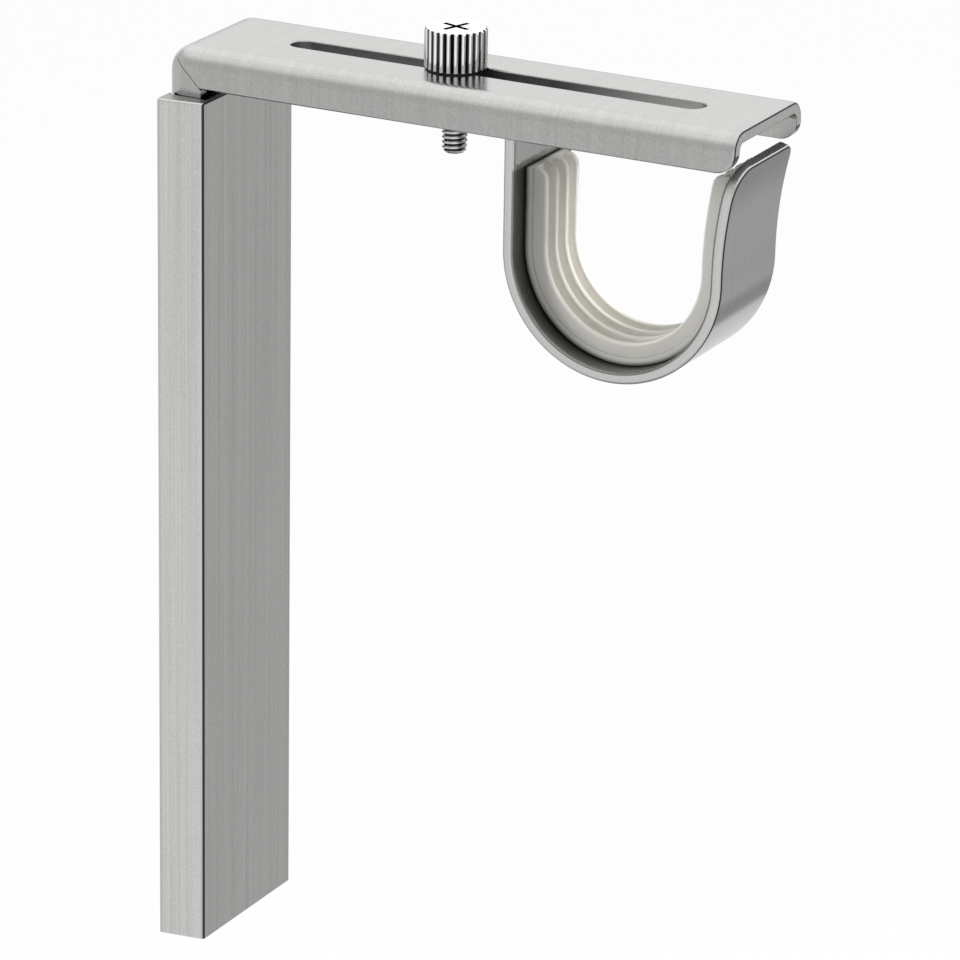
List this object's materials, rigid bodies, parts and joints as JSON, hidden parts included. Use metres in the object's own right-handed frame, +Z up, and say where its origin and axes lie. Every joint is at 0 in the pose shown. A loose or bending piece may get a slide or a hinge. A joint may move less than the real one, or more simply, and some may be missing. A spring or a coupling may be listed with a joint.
{
  "type": "curtain pole bracket",
  "caption": "Wall bracket for a curtain pole: a slotted folded-steel arm on a covered wall plate, with a lined U-shaped holder hung from the slot by a knurled thumb screw.",
  "frame": {"origin": "on the wall face of the plate, midway between the two fixing holes", "axes": "+X out from the wall along the arm, +Y across the arm, +Z up"},
  "size_m": [0.104, 0.0318, 0.1645],
  "materials": {
    "satin_steel": "satin nickel",
    "brushed_cover": "brushed along its length",
    "bright_screw": "polished",
    "holder_steel": "satin nickel",
    "ivory_plastic": "matt"
  },
  "bodies": {
    "bracket": {"angle_bracket": "satin_steel"},
    "cover": {"wall_cover": "brushed_cover"},
    "holder": {"pole_holder": "holder_steel", "holder_liner": "ivory_plastic"},
    "screw": {"thumb_screw": "bright_screw"}
  },
  "joints": [
    {"name": "holder_slide", "type": "slide", "parent": "bracket", "child": "holder", "axis": [1, 0, 0], "range_m": [-0.0281, 0.0427]},
    {"name": "screw_turn", "type": "hinge", "parent": "holder", "child": "screw", "pos_m": [0.0476, 0, 0.078], "axis": [0, 0, 1], "range_deg": [0, 1080]},
    {"name": "cover_slide", "type": "slide", "parent": "bracket", "child": "cover", "axis": [0, 0, 1], "range_m": [-0.148, 0]}
  ]
}
